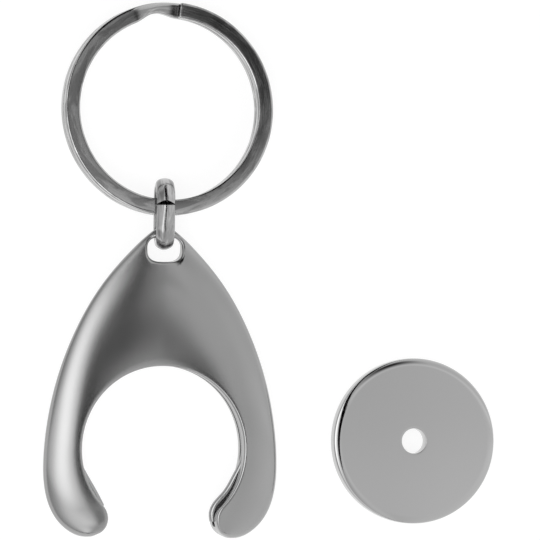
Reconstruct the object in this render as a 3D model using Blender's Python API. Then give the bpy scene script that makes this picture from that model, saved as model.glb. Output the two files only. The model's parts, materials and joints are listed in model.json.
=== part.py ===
"""Coin holder keyring: a horseshoe holder with a spring wire, a link, a split ring and a loose chip.

The holder, the link and the ring lie on a table as they would when the keyring is put down, and the
chip lies beside them. X runs to the right and Y towards the split ring. The holder and the ring are
each tilted a degree or so, because they lean on the link.
"""
from math import asin, atan2, cos, exp, log, pi, radians, sin, sqrt

import bmesh
import bpy
import numpy as np
from mathutils import Matrix, Vector

MM = 0.001

# Chip, the size of a one euro coin, so that it opens a trolley's coin lock
CHIP_DIAMETER = 23.25 * MM
CHIP_THICKNESS = 2.33 * MM
CHIP_HOLE_DIAMETER = 3.55 * MM
CHIP_EDGE_RADIUS = 0.4 * MM
CHIP_BESIDE = 36.8 * MM
CHIP_ABOVE = 1.5 * MM
CHIP_SEGMENTS = 72
CHIP_EDGE_STEPS = 3

# Holder, a die casting that is thick at the lips and thin at the outer edge
SEAT_CLEARANCE = 0.055 * MM
HOLDER_WIDTH = 33.6 * MM
HOLDER_TOP = 31.3 * MM
LIP_THICKNESS_TOP = 2.85 * MM
LIP_THICKNESS_SIDE = 4.1 * MM
LIP_THICKNESS_TIP = 4.5 * MM
LIP_FILLET = 0.35 * MM
EDGE_DOME_POWER = 2
MIDDLE_DOME_POWER = 11
DOME_FADE = radians(9)
TIP_RADIUS = 2.65 * MM
TIP_TANGENT = radians(43.2)
SECTION_TURN = radians(11)
TURN_SOFTNESS = radians(6)
NOSE_START_SHARE = 0.84
NOSE_THINNING_SHARE = 0.94
NOSE_THINNING_POWER = 4.6
NOSE_FILLET_SHARE = 0.42
NOSE_GROOVE_SHARE = 0.8
NOSE_END = radians(4)
OUTLINE_STEPS = 600
ROUND_STEPS = 36
ROUND_SPACING_POWER = 1.6
TIP_STEPS = 13
TIP_SPACING_POWER = 1.4
LIP_STEPS = 3
DOME_STEPS = 8

# Eyelet of the holder and the bridge of metal above it
BRIDGE = 1.45 * MM
EYELET_WIDTH = 5.0 * MM
EYELET_HEIGHT = 3.55 * MM
EYELET_ARCH_POWER = 2.6
EYELET_BOTTOM_POWER = 3.0
EYELET_RIM_RADIUS = 0.5 * MM
EYELET_STEPS = 40
EYELET_RIM_STEPS = 4

# Spring wire that holds the chip, in a groove round the opening
WIRE_DIAMETER = 1.0 * MM
WIRE_CLEARANCE = 0.2 * MM
WIRE_ARC_OVERRUN = radians(4)
WIRE_ARC_POINTS = 24
WIRE_STEPS = 110
WIRE_SIDES = 10
GROOVE_LEAST = 0.02 * MM
GROOVE_END_MARGIN = radians(5)
GROOVE_END_FADE = radians(12)

# Connecting link, half-round strip bent to a loop with a butt seam
LINK_WIDTH = 2.65 * MM
LINK_STRIP = 1.28 * MM
LINK_WINDOW_LENGTH = 7.55 * MM
LINK_WINDOW_DEPTH = 4.0 * MM
LINK_EDGE = 0.2 * MM
LINK_SIDE = 0.4 * MM
LINK_SEAM_GAP = 0.12 * MM
LINK_SEAM_UPPER_BEVEL = 0.55 * MM
LINK_SEAM_LOWER_BEVEL = 0.12 * MM
LINK_SEAM_RISE = 1.3 * MM
LINK_PLAY = 0.62 * MM
LINK_TWIST = radians(-8.5)
LINK_BEND_STEPS = 12
LINK_ROUND_STEPS = 8

# Split ring, flat wire wound into two turns
RING_DIAMETER = 30.0 * MM
RING_WIRE_WIDTH = 2.15 * MM
RING_WIRE_THICKNESS = 1.4 * MM
RING_TURN_GAP = 0.06 * MM
RING_WIRE_EDGE = 0.25 * MM
RING_PLAY = 0.9 * MM
RING_ASIDE = 0.45 * MM
RING_CUT_ANGLE = radians(5.8)
RING_JOGGLE_ANGLE = radians(28)
RING_END_GAP = radians(0.8)
RING_JOGGLE_NARROWING = 0.66 * MM
RING_CROSSING_SHARES = (0.03, 0.97)
RING_NARROW_SHARES = (0.0, 0.5)
RING_WIDEN_SHARES = (0.55, 1.03)
RING_TURN_STEPS = 64
RING_JOGGLE_STEPS = 20
RING_EDGE_STEPS = 2

OVERRUN = 1.0 * MM

# Right half of the holder's outer outline, from the tip to the opening's middle: shares of the way from
# the tip's side out to the holder's side, and of the tips' depth
LOWER_OUTLINE_SHARES = [(0.038, 0.922), (0.614, 0.734), (0.937, 0.455), (1.0, 0.120)]
# Its upper part, up to the top: shares of the holder's half width, and of its height
UPPER_OUTLINE_SHARES = [(0.976, 0.104), (0.891, 0.319), (0.740, 0.534), (0.505, 0.749),
                        (0.273, 0.893), (0.131, 0.964)]
# Centre line of the spring wire below the opening's middle: shares of the opening's radius
WIRE_BEND_SHARES = [(0.939, -0.319), (0.803, -0.544), (0.685, -0.686), (0.658, -0.772)]
WIRE_LONG_END_SHARES = [(0.669, -0.867)]

OPENING_RADIUS = CHIP_DIAMETER / 2 + SEAT_CLEARANCE
GROOVE_HALF = WIRE_DIAMETER / 2 + WIRE_CLEARANCE
GROOVE_DEPTH = WIRE_DIAMETER + WIRE_CLEARANCE
TIP_CENTRE = Vector((cos(TIP_TANGENT), -sin(TIP_TANGENT))) * (OPENING_RADIUS + TIP_RADIUS)
TIP_DEPTH = TIP_RADIUS - TIP_CENTRE.y
TIP_SIDE = TIP_RADIUS + TIP_CENTRE.x
TIP_LOWEST = 1.5 * pi - SECTION_TURN
LINK_HALF_DEPTH = LINK_WINDOW_DEPTH / 2 + LINK_STRIP
LINK_STRAIGHT = LINK_WINDOW_LENGTH - LINK_WINDOW_DEPTH
RING_WIRE_RADIUS = (RING_DIAMETER - RING_WIRE_WIDTH) / 2
RING_HALF_HEIGHT = RING_WIRE_THICKNESS + RING_TURN_GAP / 2

# Places along Y, measured from the opening's centre, and heights above the table
EYELET_TOP = HOLDER_TOP - BRIDGE
LINK_AXIS_Y = EYELET_TOP - LINK_PLAY + LINK_WINDOW_DEPTH / 2
RING_AXIS_Y = LINK_AXIS_Y + LINK_STRAIGHT - RING_PLAY
AXIS_Z = LINK_HALF_DEPTH * cos(LINK_TWIST)
HOLDER_TILT = asin((AXIS_Z - LIP_THICKNESS_TIP / 2) / (LINK_AXIS_Y - TIP_CENTRE.y))
RING_TILT = -asin((AXIS_Z - RING_HALF_HEIGHT) / (RING_WIRE_RADIUS + RING_DIAMETER / 2))


def clear_scene():
    for item in list(bpy.data.objects):
        bpy.data.objects.remove(item)


def metal(name, colour, roughness):
    """Make a bare metal material."""
    material = bpy.data.materials.new(name)
    material.use_nodes = True
    shader = material.node_tree.nodes["Principled BSDF"]
    shader.inputs["Base Color"].default_value = (*colour, 1.0)
    shader.inputs["Metallic"].default_value = 1.0
    shader.inputs["Roughness"].default_value = roughness
    material.diffuse_color = (*colour, 1.0)
    return material


def add_mesh(name, bm, material, sharp_angle=radians(35)):
    """Turn a bmesh into a named object, shaded smooth apart from its sharp edges."""
    bmesh.ops.recalc_face_normals(bm, faces=bm.faces)
    mesh = bpy.data.meshes.new(name)
    bm.to_mesh(mesh)
    bm.free()
    mesh.shade_smooth()
    mesh.set_sharp_from_angle(angle=sharp_angle)
    mesh.materials.append(material)
    item = bpy.data.objects.new(name, mesh)
    bpy.context.collection.objects.link(item)
    return item


def loft(sections, closed=False):
    """Join equal loops of points by quads, and cap the two ends unless the loft closes on itself."""
    bm = bmesh.new()
    loops = [[bm.verts.new(point) for point in section] for section in sections]
    pairs = list(zip(loops, loops[1:]))
    if closed:
        pairs.append((loops[-1], loops[0]))
    for first, second in pairs:
        for i in range(len(first)):
            j = (i + 1) % len(first)
            bm.faces.new((first[i], first[j], second[j], second[i]))
    if not closed:
        bm.faces.new(loops[0])
        bm.faces.new(reversed(loops[-1]))
    return bm


def smooth_curve(points, steps):
    """Run a natural cubic spline through 2D points and return steps + 1 points along it."""
    knots = np.array([tuple(point) for point in points])
    chords = np.hypot(*np.diff(knots, axis=0).T)
    at = np.concatenate(([0.0], np.cumsum(chords)))
    count = len(knots)
    system = np.eye(count)
    slopes = np.diff(knots, axis=0) / chords[:, None]
    right = np.zeros_like(knots)
    for i in range(1, count - 1):
        system[i, i - 1:i + 2] = chords[i - 1], 2 * (chords[i - 1] + chords[i]), chords[i]
        right[i] = 6 * (slopes[i] - slopes[i - 1])
    bends = np.linalg.solve(system, right)
    result = []
    for where in np.linspace(0, at[-1], steps + 1):
        i = min(int(np.searchsorted(at, where, side="right")) - 1, count - 2)
        left, ahead, span = where - at[i], at[i + 1] - where, chords[i]
        value = (bends[i] * ahead ** 3 + bends[i + 1] * left ** 3) / (6 * span)
        value += (knots[i] / span - bends[i] * span / 6) * ahead
        value += (knots[i + 1] / span - bends[i + 1] * span / 6) * left
        result.append(Vector(value))
    return result


def tip_point(angle):
    """Point on the round inner end of the right arm."""
    return TIP_CENTRE + Vector((cos(angle), sin(angle))) * TIP_RADIUS


def outer_outline():
    """Holder's outer outline, from the right tip over the top to the left tip."""
    side = HOLDER_WIDTH / 2
    half = [tip_point(TIP_LOWEST), tip_point(TIP_LOWEST + 2 * SECTION_TURN)]
    for outward, down in LOWER_OUTLINE_SHARES:
        half.append(Vector((TIP_SIDE + outward * (side - TIP_SIDE), -down * TIP_DEPTH)))
    for outward, up in UPPER_OUTLINE_SHARES:
        half.append(Vector((outward * side, up * HOLDER_TOP)))
    mirrored = [Vector((-point.x, point.y)) for point in reversed(half)]
    return smooth_curve(half + [Vector((0, HOLDER_TOP))] + mirrored, OUTLINE_STEPS)


def reach(start, direction, outline):
    """Distance from a point to the outline along a direction."""
    side = Vector((-direction.y, direction.x))
    best = 0.0
    for first, second in zip(outline, outline[1:]):
        a = (first - start).dot(side)
        b = (second - start).dot(side)
        if (a > 0) != (b > 0):
            hit = first + (second - first) * (a / (a - b))
            best = max(best, (hit - start).dot(direction))
    return best


def blend(value, low, high):
    """Smooth step from 0 at low to 1 at high."""
    share = min(max((value - low) / (high - low), 0.0), 1.0)
    return share * share * (3 - 2 * share)


def lip_half(turn):
    """Half thickness at the lip, thin at the top of the opening and thick at the tips."""
    side = LIP_THICKNESS_TOP + (LIP_THICKNESS_SIDE - LIP_THICKNESS_TOP) * blend(turn, 0, pi / 2)
    whole = side + (LIP_THICKNESS_TIP - side) * blend(turn, pi / 2, pi / 2 + TIP_TANGENT)
    return whole / 2


def dome_power(turn):
    """Flat over the top of the holder, a quarter ellipse across its arms."""
    return EDGE_DOME_POWER + (MIDDLE_DOME_POWER - EDGE_DOME_POWER) * exp(-turn / DOME_FADE)


def holder_section(start, direction, width, turn, tip_angle):
    """One loop round the holder: the grooved wall of the opening, a lip and a dome on each face.

    At the lowest part of the tip the wall is rounded over more and more, which makes a nose.
    """
    low = max(cos(tip_angle - TIP_LOWEST), 0.0) if tip_angle else 0.0
    half = lip_half(turn) * sqrt(1 - NOSE_THINNING_SHARE * low ** NOSE_THINNING_POWER)
    nose = blend(low, NOSE_START_SHARE, 1)
    fillet = LIP_FILLET + (width * NOSE_FILLET_SHARE - LIP_FILLET) * nose
    wall_half = (half - LIP_FILLET) * (1 - NOSE_FILLET_SHARE * 2 * nose)
    depth = groove_depth(tip_angle)
    groove_half = min(GROOVE_HALF, wall_half * NOSE_GROOVE_SHARE)
    straight = 1 - GROOVE_HALF / GROOVE_DEPTH
    upper = []
    for angle in (pi / 4, pi / 2):
        upper.append((depth * (straight + (1 - straight) * cos(angle)), groove_half * sin(angle)))
    upper.append((0.0, groove_half))
    for i in range(LIP_STEPS + 1):
        angle = pi / 2 * i / LIP_STEPS
        upper.append((fillet * (1 - cos(angle)), wall_half + (half - wall_half) * sin(angle)))
    power = dome_power(turn)
    for i in range(1, DOME_STEPS):
        share = sin(pi / 2 * i / DOME_STEPS)
        upper.append((fillet + (width - fillet) * share, half * (1 - share ** power) ** 0.5))
    profile = upper + [(width, 0.0)] + [(u, -z) for u, z in reversed(upper)] + [(depth, 0.0)]
    return [Vector((*(start + direction * u), z)) for u, z in profile]


def groove_depth(tip_angle):
    """Depth of the groove, which fades out on the tip just past the wire's long end."""
    end = Vector(WIRE_LONG_END_SHARES[-1]) * OPENING_RADIUS - TIP_CENTRE
    last = atan2(end.y, end.x) % (2 * pi) + GROOVE_END_MARGIN
    return max(GROOVE_DEPTH * (1 - blend(tip_angle, last, last + GROOVE_END_FADE)), GROOVE_LEAST)


def holder_stations():
    """Places round the right half of the opening: wall point, polar turn, angle round the tip."""
    last = pi / 2 + TIP_TANGENT
    stations = []
    for i in range(ROUND_STEPS + 1):
        turn = last * (i / ROUND_STEPS) ** ROUND_SPACING_POWER
        stations.append((Vector((sin(turn), cos(turn))) * OPENING_RADIUS, turn, 0.0))
    first = pi - TIP_TANGENT
    span = TIP_LOWEST - NOSE_END - first
    for i in range(1, TIP_STEPS + 1):
        angle = first + span * (1 - (1 - i / TIP_STEPS) ** TIP_SPACING_POWER)
        stations.append((tip_point(angle), last, angle))
    return stations


def holder_sections():
    """Loops of the whole holder, from the left tip to the right one."""
    outline = outer_outline()
    right = []
    for start, turn, tip_angle in holder_stations():
        excess = (pi / 2 - turn + SECTION_TURN) / TURN_SOFTNESS
        angle = -SECTION_TURN + TURN_SOFTNESS * log(1 + exp(excess))
        direction = Vector((cos(angle), sin(angle)))
        width = reach(start, direction, outline)
        right.append(holder_section(start, direction, width, turn, tip_angle))
    left = [[Vector((-p.x, p.y, p.z)) for p in section] for section in reversed(right[1:])]
    return left + right


def eyelet_outline(grow):
    """Loop of the eyelet, with an arched top and a flatter bottom."""
    middle = EYELET_TOP - EYELET_HEIGHT / 2
    points = []
    for i in range(EYELET_STEPS):
        angle = 2 * pi * i / EYELET_STEPS
        power = 2 / (EYELET_ARCH_POWER if sin(angle) > 0 else EYELET_BOTTOM_POWER)
        x = abs(cos(angle)) ** power * (1 if cos(angle) > 0 else -1)
        y = abs(sin(angle)) ** power * (1 if sin(angle) > 0 else -1)
        points.append((x * (EYELET_WIDTH / 2 + grow), middle + y * (EYELET_HEIGHT / 2 + grow)))
    return points


def eyelet_cutter(parent):
    """Cutter that flares towards both faces, which leaves a rounded rim."""
    top = LIP_THICKNESS_TOP / 2
    rim = EYELET_RIM_RADIUS
    upper = []
    for i in range(EYELET_RIM_STEPS + 1):
        angle = pi / 2 * i / EYELET_RIM_STEPS
        upper.append((top - rim + rim * sin(angle), rim * (1 - cos(angle))))
    upper.append((top + OVERRUN, rim))
    sections = []
    for height, grow in [(-height, grow) for height, grow in reversed(upper)] + upper:
        sections.append([Vector((x, y, height)) for x, y in eyelet_outline(grow)])
    cutter = add_mesh("eyelet_cutter", loft(sections), metal("cutter", (0.5, 0.5, 0.5), 0.5))
    cutter.parent = parent
    cutter.hide_render = True
    cutter.display_type = "WIRE"
    return cutter


def add_holder(parent, material):
    holder = add_mesh("holder_body", loft(holder_sections()), material)
    holder.parent = parent
    cut = holder.modifiers.new("eyelet", "BOOLEAN")
    cut.operation = "DIFFERENCE"
    cut.object = eyelet_cutter(parent)
    return holder


def wire_route():
    """Centre line of the spring wire: round the groove, then in past the lips at both ends."""
    radius = OPENING_RADIUS + WIRE_DIAMETER / 2
    angles = np.linspace(-WIRE_ARC_OVERRUN, pi + WIRE_ARC_OVERRUN, WIRE_ARC_POINTS)
    upper = [Vector((cos(angle), sin(angle))) * radius for angle in angles]
    bend = [Vector(point) * OPENING_RADIUS for point in WIRE_BEND_SHARES]
    long_end = [Vector(point) * OPENING_RADIUS for point in WIRE_LONG_END_SHARES]
    left = [Vector((-point.x, point.y)) for point in bend[:-1]]
    return smooth_curve(list(reversed(bend + long_end)) + upper + left, WIRE_STEPS)


def add_spring(parent, material):
    route = wire_route()
    sections = []
    for i, point in enumerate(route):
        ahead = route[min(i + 1, len(route) - 1)] - route[max(i - 1, 0)]
        side = Vector((ahead.y, -ahead.x, 0)).normalized()
        section = []
        for k in range(WIRE_SIDES):
            angle = 2 * pi * k / WIRE_SIDES
            reach_out = side * cos(angle) + Vector((0, 0, 1)) * sin(angle)
            section.append(Vector((*point, 0)) + reach_out * WIRE_DIAMETER / 2)
        sections.append(section)
    spring = add_mesh("retaining_spring", loft(sections), material, radians(50))
    spring.parent = parent
    return spring


def strip_profile():
    """Half-round section of the link: (across, outward) points, flat on the inside of the loop."""
    half = LINK_WIDTH / 2
    points = [(-half + LINK_EDGE, 0.0), (half - LINK_EDGE, 0.0), (half, LINK_EDGE)]
    for i in range(LINK_ROUND_STEPS + 1):
        angle = pi * i / LINK_ROUND_STEPS
        points.append((half * cos(angle), LINK_SIDE + (LINK_STRIP - LINK_SIDE) * sin(angle)))
    points.append((-half, LINK_EDGE))
    return points


def link_route():
    """Inner line of the loop from one end at the seam to the other: place and outward direction."""
    bend = LINK_WINDOW_DEPTH / 2
    run = LINK_STRAIGHT / 2
    route = [(Vector((LINK_SEAM_RISE - LINK_SEAM_GAP / 2, bend)), Vector((0, 1)))]
    for middle, first in ((-run, pi / 2), (run, -pi / 2)):
        for i in range(LINK_BEND_STEPS + 1):
            angle = first + pi * i / LINK_BEND_STEPS
            outward = Vector((cos(angle), sin(angle)))
            route.append((Vector((middle, 0)) + outward * bend, outward))
    route.append((Vector((LINK_SEAM_RISE + LINK_SEAM_GAP / 2, bend)), Vector((0, 1))))
    return route


def add_link(hinge, material):
    """Link lengthways along Y with its lower bend centred on the hinge.

    The two ends at the seam are bevelled from outside, so that the seam opens to a notch.
    """
    route = link_route()
    bevels = [-LINK_SEAM_LOWER_BEVEL] + [0.0] * (len(route) - 2) + [LINK_SEAM_UPPER_BEVEL]
    sections = []
    for (place, outward), bevel in zip(route, bevels):
        section = []
        for across, out in strip_profile():
            back = bevel * max(out - LINK_SIDE, 0.0) / (LINK_STRIP - LINK_SIDE)
            flat = place + outward * out + Vector((back, 0))
            section.append(Vector((across, flat.x + LINK_STRAIGHT / 2, flat.y)))
        sections.append(section)
    link = add_mesh("connecting_link", loft(sections), material, radians(40))
    link.parent = hinge
    link.rotation_euler = (0, LINK_TWIST, 0)
    return link


def wire_profile(width):
    """Rounded rectangle of the ring's flat wire: (radial, axial) points, outer side at radial 0."""
    half = RING_WIRE_THICKNESS / 2
    edge = RING_WIRE_EDGE
    points = []
    for radial, axial, start in ((-edge, half - edge, 0.0), (edge - width, half - edge, pi / 2),
                                 (edge - width, edge - half, pi), (-edge, edge - half, 1.5 * pi)):
        for i in range(RING_EDGE_STEPS + 1):
            angle = start + pi / 2 * i / RING_EDGE_STEPS
            points.append((radial + edge * cos(angle), axial + edge * sin(angle)))
    return points


def ring_station(angle):
    """Layer height and radial width of the ring's wire at an angle turned from its first cut end."""
    joggle_start = 2 * pi - RING_JOGGLE_ANGLE
    crossing = (angle - joggle_start) / RING_JOGGLE_ANGLE
    layer = (RING_WIRE_THICKNESS + RING_TURN_GAP) / 2
    height = layer * (1 - 2 * blend(crossing, *RING_CROSSING_SHARES))
    pinch = blend(crossing, *RING_NARROW_SHARES) - blend(crossing, *RING_WIDEN_SHARES)
    return height, RING_WIRE_WIDTH - RING_JOGGLE_NARROWING * pinch


def add_ring(hinge, material):
    """Two turns of flat wire, clockwise from the cut end in the front layer to the one behind."""
    total = 4 * pi - RING_JOGGLE_ANGLE - 2 * RING_END_GAP
    joggle_start = 2 * pi - RING_JOGGLE_ANGLE
    joggle_end = 2 * pi + RING_JOGGLE_ANGLE / 2
    angles = list(np.linspace(RING_END_GAP, joggle_start, RING_TURN_STEPS, endpoint=False))
    angles += list(np.linspace(joggle_start, joggle_end, RING_JOGGLE_STEPS, endpoint=False))
    angles += list(np.linspace(joggle_end, total, RING_TURN_STEPS))
    sections = []
    for angle in angles:
        height, width = ring_station(angle)
        turned = pi / 2 - RING_CUT_ANGLE - angle
        outward = Vector((cos(turned), sin(turned), 0))
        centre = Vector((0, RING_WIRE_RADIUS, height))
        sections.append([centre + outward * (RING_DIAMETER / 2 + radial) + Vector((0, 0, axial))
                         for radial, axial in wire_profile(width)])
    ring = add_mesh("split_ring", loft(sections), material, radians(50))
    ring.parent = hinge
    return ring


def add_chip(material):
    """Disc with rounded edges and a hole, turned about its own axis."""
    radius = CHIP_DIAMETER / 2
    hole = CHIP_HOLE_DIAMETER / 2
    half = CHIP_THICKNESS / 2
    edge = CHIP_EDGE_RADIUS
    profile = [(hole, -half + edge / 4), (hole, half - edge / 4), (hole + edge / 4, half)]
    for side, first in ((1, pi / 2), (-1, 0)):
        for i in range(CHIP_EDGE_STEPS + 1):
            angle = first - pi / 2 * i / CHIP_EDGE_STEPS
            profile.append((radius - edge + edge * cos(angle), side * (half - edge) + edge * sin(angle)))
    profile.append((hole + edge / 4, -half))
    sections = []
    for i in range(CHIP_SEGMENTS):
        angle = 2 * pi * i / CHIP_SEGMENTS
        sections.append([Vector((r * cos(angle), r * sin(angle), z)) for r, z in profile])
    chip = add_mesh("trolley_chip", loft(sections, closed=True), material)
    chip.location = (CHIP_BESIDE, CHIP_ABOVE, CHIP_THICKNESS / 2)
    return chip


def add_empty(name, location, tilt, parent=None):
    """Empty on a joint's axis or under a tilted piece, turned about X."""
    empty = bpy.data.objects.new(name, None)
    bpy.context.collection.objects.link(empty)
    empty.location = location
    empty.rotation_euler = (tilt, 0, 0)
    empty.parent = parent
    return empty


def stand_on_origin(root):
    """Move the whole keyring so that the origin is at the middle of its box, on the table."""
    bpy.context.view_layer.update()
    graph = bpy.context.evaluated_depsgraph_get()
    points = []
    for item in bpy.data.objects:
        if item.type == "MESH" and not item.hide_render:
            seen = item.evaluated_get(graph)
            points += [seen.matrix_world @ vertex.co for vertex in seen.data.vertices]
    low = [min(point[i] for point in points) for i in range(3)]
    high = [max(point[i] for point in points) for i in range(3)]
    root.location = (-(low[0] + high[0]) / 2, -(low[1] + high[1]) / 2, -low[2])
    bpy.context.view_layer.update()


def main():
    clear_scene()
    satin_nickel = metal("satin_nickel_zinc", (0.36, 0.36, 0.36), 0.32)
    bright_nickel = metal("bright_nickel_steel", (0.45, 0.45, 0.45), 0.12)
    spring_steel = metal("spring_steel", (0.40, 0.40, 0.40), 0.25)
    chip_steel = metal("polished_chip_steel", (0.42, 0.42, 0.42), 0.15)
    root = add_empty("keyring_origin", (0, 0, 0), 0)
    axis = Vector((0, LINK_AXIS_Y, AXIS_Z))
    lean = Matrix.Rotation(HOLDER_TILT, 3, "X")
    holder_frame = add_empty("holder_frame", axis - lean @ Vector((0, LINK_AXIS_Y, 0)), HOLDER_TILT, root)
    add_holder(holder_frame, satin_nickel)
    add_spring(holder_frame, spring_steel)
    link_hinge = add_empty("link_hinge", axis, 0, root)
    add_link(link_hinge, bright_nickel)
    ring_place = (RING_ASIDE, RING_AXIS_Y - LINK_AXIS_Y, 0)
    ring_hinge = add_empty("ring_hinge", ring_place, RING_TILT, link_hinge)
    add_ring(ring_hinge, bright_nickel)
    chip = add_chip(chip_steel)
    chip.parent = root
    stand_on_origin(root)


main()
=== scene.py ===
"""Coin holder keyring: the finished model of its holder, spring wire, link, split ring and chip.

Each piece repeats the shape of the solid that it stands for, at finer steps and with its small
forms. All but the spring wire, which follows its groove, are set exactly into that solid's box.
X runs from the holder to the chip, Y to the ring, Z up.
"""
import json
from math import asin, atan2, cos, exp, log, pi, radians, sin, sqrt

import bmesh
import bpy
import numpy as np
from bpy.props import FloatProperty, FloatVectorProperty, PointerProperty
from bpy.types import Operator, Panel, PropertyGroup
from mathutils import Matrix, Vector
from mathutils.bvhtree import BVHTree


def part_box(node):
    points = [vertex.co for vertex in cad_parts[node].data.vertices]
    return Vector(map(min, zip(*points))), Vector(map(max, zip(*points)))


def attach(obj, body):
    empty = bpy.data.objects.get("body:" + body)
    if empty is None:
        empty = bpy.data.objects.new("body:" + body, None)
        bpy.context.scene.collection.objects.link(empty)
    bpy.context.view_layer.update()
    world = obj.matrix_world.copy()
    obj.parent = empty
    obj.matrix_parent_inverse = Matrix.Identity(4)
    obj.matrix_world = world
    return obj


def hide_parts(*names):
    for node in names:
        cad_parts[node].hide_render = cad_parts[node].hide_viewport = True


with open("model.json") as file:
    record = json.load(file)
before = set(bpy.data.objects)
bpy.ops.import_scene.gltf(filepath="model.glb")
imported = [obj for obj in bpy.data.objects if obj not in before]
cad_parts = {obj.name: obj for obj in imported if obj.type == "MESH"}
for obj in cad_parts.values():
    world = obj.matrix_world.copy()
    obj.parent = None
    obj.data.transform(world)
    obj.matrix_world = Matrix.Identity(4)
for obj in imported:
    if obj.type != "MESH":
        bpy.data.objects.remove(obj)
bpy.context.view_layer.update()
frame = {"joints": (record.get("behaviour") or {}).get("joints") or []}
AXES = {joint["name"]: Vector(joint["pos_m"]) for joint in frame["joints"] if "pos_m" in joint}

bl_info = {
    "name": "Coin Holder Keyring",
    "version": (1, 0, 0),
    "blender": (4, 5, 0),
    "location": "3D View > Sidebar > Keyring",
    "description": "Builds a coin holder keyring with its spring wire, link, split ring and chip",
    "category": "Add Mesh",
}

MM = 0.001

# Steps of the meshes, the powers that space them, and the shortest edge that is kept
OUTLINE_STEPS = 1500
ROUND_STEPS = 130
ROUND_SPACING_POWER = 1.6
TIP_STEPS = 44
TIP_SPACING_POWER = 1.4
GROOVE_STEPS = 6
LIP_STEPS = 6
DOME_STEPS = 34
EYELET_STEPS = 120
EYELET_RIM_STEPS = 8
WIRE_STEPS = 300
WIRE_SIDES = 24
END_STEPS = 4
LINK_BEND_STEPS = 40
LINK_RUN_STEPS = 12
LINK_ROOF_STEPS = 20
RING_TURN_STEPS = 260
RING_JOGGLE_STEPS = 70
RING_EDGE_STEPS = 8
CORNER_STEPS = 4
LEAST_EDGE = 0.0005 * MM
CHIP_SEGMENTS = 192
CHIP_EDGE_STEPS = 10
CHIP_ROLL_STEPS = 14

# Edges sharper than these stay sharp
SHARP_ANGLE = radians(40)
HOLDER_SHARP_ANGLE = radians(50)
# Largest share by which a piece may be scaled into its box
MOST_FIT = 0.01

# Holder's faces: nearly flat over the top of the opening, and elliptic across the arms. The crown
# over the top is a share of the height, and ends at a share of the way out
EDGE_DOME_POWER = 2
MIDDLE_DOME_POWER = 11
DOME_FADE = radians(10.5)
DOME_FADE_POWER = 1.2
CROWN = 0.08
CROWN_FADE = radians(20)
CROWN_END = 0.58
# Holder's tips, the nose that rounds them off below, and the end of the groove
TIP_TANGENT = radians(43.2)
SECTION_TURN = radians(11)
TURN_SOFTNESS = radians(6)
TIP_LOWEST = 1.5 * pi - SECTION_TURN
NOSE_START_SHARE = 0.84
NOSE_THINNING_SHARE = 0.985
NOSE_THINNING_POWER = 4.6
NOSE_FILLET_SHARE = 0.42
NOSE_GROOVE_SHARE = 0.8
NOSE_END = radians(1.5)
GROOVE_LEAST = 0.01 * MM
GROOVE_END_MARGIN = radians(5)
GROOVE_END_FADE = radians(12)
# Eyelet's outline, how far its rim turns, and the share of the rim by which its cutter overshoots
EYELET_ARCH_POWER = 2.6
EYELET_BOTTOM_POWER = 3.0
RIM_TOP = radians(78)
RIM_OVERRUN = 0.25

# Right half of the holder's outer outline, from the tip to the opening's middle: shares of the way
# from the tip's side out to the holder's side, and of the tips' depth
LOWER_OUTLINE_SHARES = [(0.038, 0.922), (0.614, 0.734), (0.937, 0.455), (1.0, 0.120)]
# Its upper part, up to the top: shares of the holder's half width, and of its height
UPPER_OUTLINE_SHARES = [(0.976, 0.104), (0.891, 0.319), (0.740, 0.534), (0.505, 0.749),
                        (0.273, 0.893), (0.131, 0.964)]
# Centre line of the spring wire below the opening's middle, down to its long end at the right and
# its short end at the left, which lies deeper in the groove: shares of the opening's radius
WIRE_LONG_SIDE_SHARES = [(0.939, -0.319), (0.803, -0.544), (0.685, -0.686), (0.658, -0.772),
                         (0.669, -0.867)]
WIRE_SHORT_SIDE_SHARES = [(-0.939, -0.319), (-0.803, -0.544), (-0.715, -0.704)]
WIRE_ARC_OVERRUN = radians(4)
WIRE_ARC_STEPS = 23

# Link's strip is gabled where it is straight, and turns half-round between these sines of its bend:
# fully at the ring's end, and by this share at the holder's end
LINK_ROUNDING = (0.55, 0.95)
LINK_LOWER_ROUNDING = 0.5

# Ring's first cut end, its joggle's reach, and the shares of that reach in which the wire changes
# layer, narrows and widens again
RING_CUT_ANGLE = radians(5.8)
RING_JOGGLE_ANGLE = radians(28)
RING_END_GAP = radians(0.8)
RING_CROSSING_SHARES = (0.03, 0.97)
RING_NARROW_SHARES = (0.0, 0.5)
RING_WIDEN_SHARES = (0.55, 1.03)

# Picture: its size in pixels, how much one covers, where the middle of the opening lies, and the
# width of the camera's sensor in millimetres
PICTURE_SIZE = 540
PICTURE_PIXEL = 0.14045 * MM
OPENING_PIXEL = (160.2, 449.0)
SENSOR = 36.0

# Floor: its corners and its depth under the pieces in millimetres. Where it is seen, its lift to
# white and the shade that is left to hold the shadow
FLOOR_CORNERS = [(-3000, -3000), (3000, -3000), (3000, 3000), (-3000, 3000)]
FLOOR_DROP = 0.01
FLOOR_LIFT = 0.86
FLOOR_SEEN_SHADE = "#818181"

# Lamp: its middle, the point that it faces, its width and depth, all in metres, and its level
SOFTBOX_PLACE = (-0.27, -0.10, 0.76)
SOFTBOX_AIM = (-0.016, 0, 0)
SOFTBOX_SIZE = (0.30, 0.50)
SOFTBOX_LEVEL = 0.4

# Studio walls: (degrees to the left of overhead, level)
STUDIO_LEVELS = [(-110, 1.0), (-76, 1.0), (-60, 0.05), (66, 0.05), (80, 0.8), (110, 0.95)]
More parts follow.
